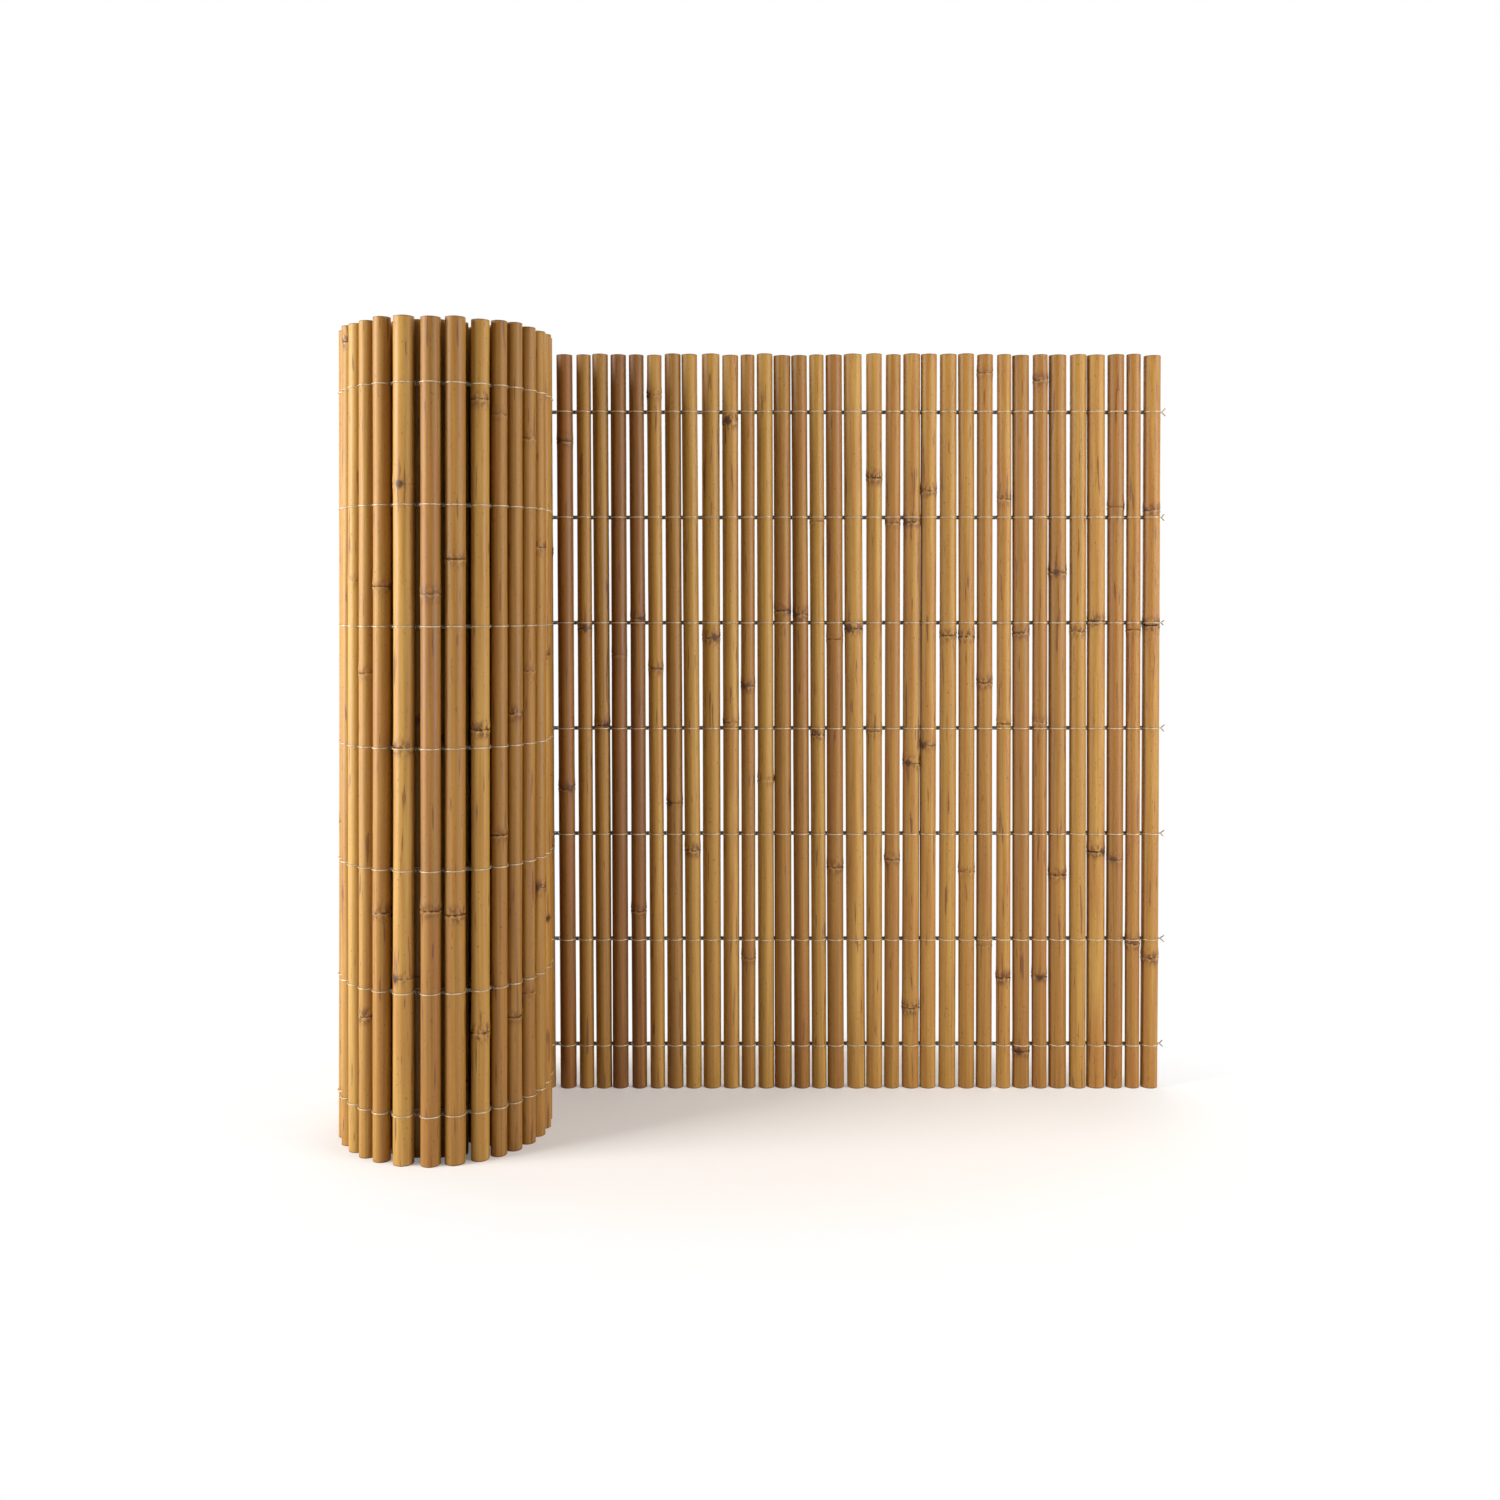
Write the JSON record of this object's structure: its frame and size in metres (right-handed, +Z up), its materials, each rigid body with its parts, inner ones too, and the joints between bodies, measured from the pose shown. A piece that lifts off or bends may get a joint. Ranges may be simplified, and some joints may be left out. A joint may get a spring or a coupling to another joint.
{
  "type": "bamboo cane screening",
  "caption": "Garden screen of upright bamboo canes laced with rows of thin galvanised wire, standing on end with one part still rolled up and the rest unrolled flat.",
  "frame": {"origin": "on the ground under the middle of the bounding box", "axes": "+X along the flat stretch from the roll to the free end, -Y the front that faces the viewer, +Z up the canes"},
  "size_m": [1.0814, 0.2816, 1],
  "materials": {
    "bamboo": "dry honey-coloured bamboo skin, satin, with darker joints and scars",
    "galvanised_wire": "thin galvanised binding wire, dull grey"
  },
  "bodies": {
    "root": {"flat_cane_01": "bamboo", "flat_cane_02": "bamboo", "flat_cane_03": "bamboo", "flat_cane_04": "bamboo", "flat_cane_05": "bamboo", "flat_cane_06": "bamboo", "flat_cane_07": "bamboo", "flat_cane_08": "bamboo", "flat_cane_09": "bamboo", "flat_cane_10": "bamboo", "flat_cane_11": "bamboo", "flat_cane_12": "bamboo", "flat_cane_13": "bamboo", "flat_cane_14": "bamboo", "flat_cane_15": "bamboo", "flat_cane_16": "bamboo", "flat_cane_17": "bamboo", "flat_cane_18": "bamboo", "flat_cane_19": "bamboo", "flat_cane_20": "bamboo", "flat_cane_21": "bamboo", "flat_cane_22": "bamboo", "flat_cane_23": "bamboo", "flat_cane_24": "bamboo", "flat_cane_25": "bamboo", "flat_cane_26": "bamboo", "flat_cane_27": "bamboo", "flat_cane_28": "bamboo", "flat_cane_29": "bamboo", "flat_cane_30": "bamboo", "flat_cane_31": "bamboo", "flat_cane_32": "bamboo", "flat_cane_33": "bamboo", "flat_cane_34": "bamboo", "flat_cane_35": "bamboo", "flat_cane_36": "bamboo", "flat_cane_37": "bamboo", "outer_turn_canes": "bamboo", "second_turn_canes": "bamboo", "third_turn_canes": "bamboo", "inner_turn_canes": "bamboo", "wire_row_1": "galvanised_wire", "wire_row_2": "galvanised_wire", "wire_row_3": "galvanised_wire", "wire_row_4": "galvanised_wire", "wire_row_5": "galvanised_wire", "wire_row_6": "galvanised_wire", "wire_row_7": "galvanised_wire"}
  },
  "joints": []
}
